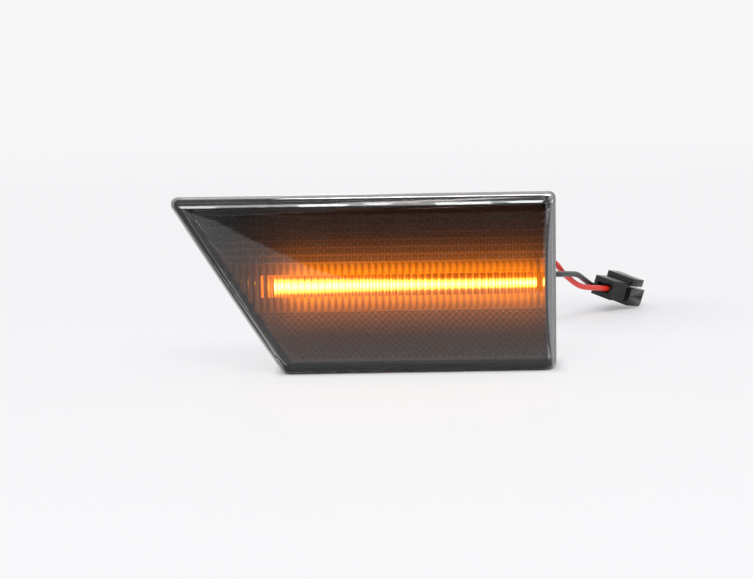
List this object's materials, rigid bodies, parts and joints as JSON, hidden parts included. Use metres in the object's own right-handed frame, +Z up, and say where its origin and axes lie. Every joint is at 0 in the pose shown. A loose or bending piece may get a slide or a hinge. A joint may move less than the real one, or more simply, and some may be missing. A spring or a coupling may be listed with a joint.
{
  "type": "side repeater lamp",
  "caption": "Side repeater lamp with a slanted smoked lens over a lit amber bar, a clip-in housing and a two-wire lead with connector.",
  "frame": {"origin": "centre of the panel opening, in the plane where the seal's rear face meets the panel", "axes": "+Z up, +X right as seen from in front of the lens, +Y into the panel; the lens looks along -Y"},
  "size_m": [0.1378, 0.1207, 0.047],
  "materials": {
    "smoked_lens": "gloss",
    "housing_black": "satin",
    "foam_seal": "matte",
    "spring_steel": "satin",
    "bezel_black": "matte",
    "amber_light_guide": "lit",
    "white_board": "satin",
    "amber_lamp": "lit",
    "chip_black": "matte",
    "ceramic_tan": "satin",
    "zinc_screw": "satin",
    "grommet_rubber": "matte",
    "red_pvc": "satin",
    "black_pvc": "satin",
    "connector_black": "satin",
    "tinned_brass": "satin"
  },
  "bodies": {
    "root": {"lens": "smoked_lens", "housing": "housing_black", "seal": "foam_seal", "spring_clip": "spring_steel", "bezel": "bezel_black", "light_bar": "amber_light_guide", "circuit_board": "white_board", "led_1": "amber_lamp", "led_2": "amber_lamp", "led_3": "amber_lamp", "led_4": "amber_lamp", "led_5": "amber_lamp", "led_6": "amber_lamp", "led_7": "amber_lamp", "led_8": "amber_lamp", "led_9": "amber_lamp", "led_10": "amber_lamp", "led_11": "amber_lamp", "led_12": "amber_lamp", "led_13": "amber_lamp", "led_14": "amber_lamp", "led_15": "amber_lamp", "led_16": "amber_lamp", "led_17": "amber_lamp", "led_18": "amber_lamp", "driver_chip": "chip_black", "input_diode": "chip_black", "input_capacitor": "ceramic_tan", "output_capacitor": "ceramic_tan", "resistor_1": "chip_black", "resistor_2": "chip_black", "resistor_3": "chip_black", "resistor_4": "chip_black", "resistor_5": "chip_black", "resistor_6": "chip_black", "left_screw": "zinc_screw", "right_screw": "zinc_screw", "grommet": "grommet_rubber", "red_lead_inside": "red_pvc", "black_lead_inside": "black_pvc", "red_wire": "red_pvc", "black_wire": "black_pvc", "connector_shell": "connector_black", "red_contact": "tinned_brass", "black_contact": "tinned_brass"}
  },
  "joints": []
}
